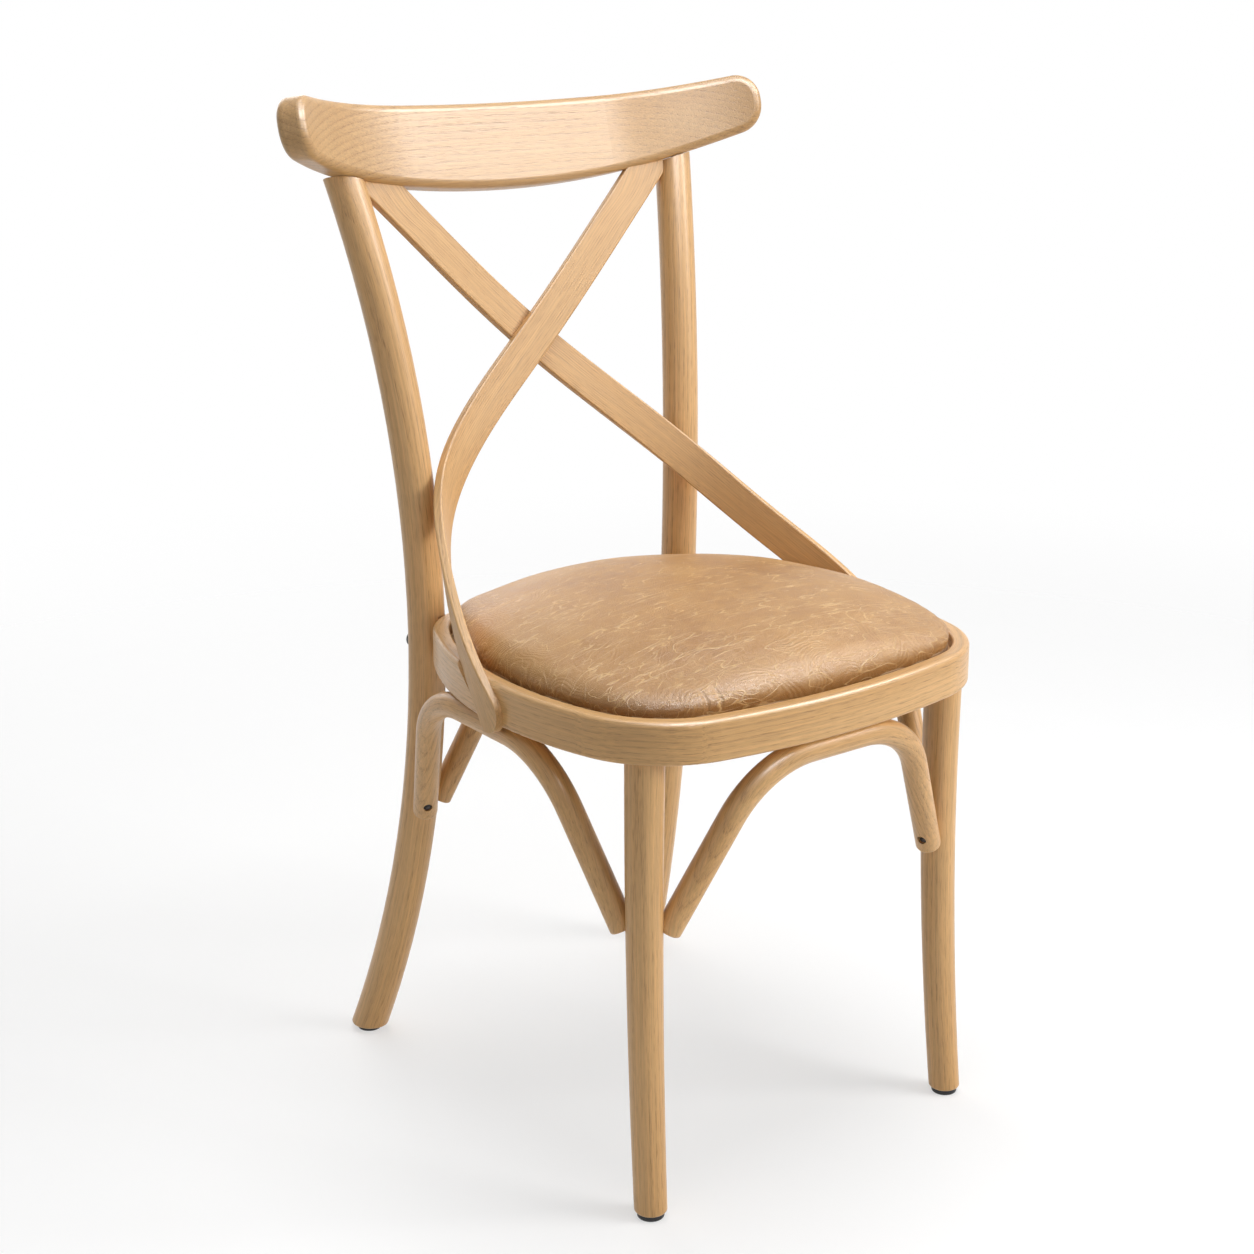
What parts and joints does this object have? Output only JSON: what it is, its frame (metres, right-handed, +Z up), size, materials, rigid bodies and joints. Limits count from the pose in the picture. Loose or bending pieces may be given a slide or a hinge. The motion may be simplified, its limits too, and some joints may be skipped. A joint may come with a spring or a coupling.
{
  "type": "restaurant chair",
  "caption": "Bentwood cross-back dining chair: curved crest rail, crossed flat back straps, bent back legs, hoop seat ring with a crowned upholstered pad and arched braces under the seat.",
  "frame": {"origin": "on the floor, under the middle of the chair's bounding box", "axes": "+Z up; the sitter faces -Y; left in the node names is -X, the viewer's left from the front"},
  "size_m": [0.5316, 0.4981, 0.8976],
  "materials": {
    "frame_wood": "satin clear lacquer on light open-grained wood",
    "dowel_wood": "bare",
    "plywood": "bare",
    "foam": "open-cell foam",
    "cover": "tan, finely pebbled with lighter creases",
    "lining": "black cloth",
    "glide": "matte black",
    "fastener": "plain zinc-plated"
  },
  "bodies": {
    "root": {"crest_rail": "frame_wood", "back_leg_left": "frame_wood", "back_leg_right": "frame_wood", "front_leg_left": "frame_wood", "front_leg_right": "frame_wood", "seat_ring": "frame_wood", "cross_strap_front": "frame_wood", "cross_strap_rear": "frame_wood", "front_arch": "frame_wood", "rear_arch": "frame_wood", "side_arch_left": "frame_wood", "side_arch_right": "frame_wood", "crest_dowels": "dowel_wood", "seat_board": "plywood", "seat_foam": "foam", "seat_cover": "cover", "dust_cover": "lining", "foot_glide_front_left": "glide", "foot_glide_front_right": "glide", "foot_glide_rear_left": "glide", "foot_glide_rear_right": "glide", "back_leg_bolts": "fastener", "back_leg_washers": "fastener", "back_leg_nuts": "fastener", "arch_end_screws": "fastener", "arch_top_screws": "fastener", "strap_foot_screws": "fastener", "cross_strap_screw": "fastener", "seat_screws": "fastener", "glide_nails": "fastener", "cover_staples": "fastener"}
  },
  "joints": []
}
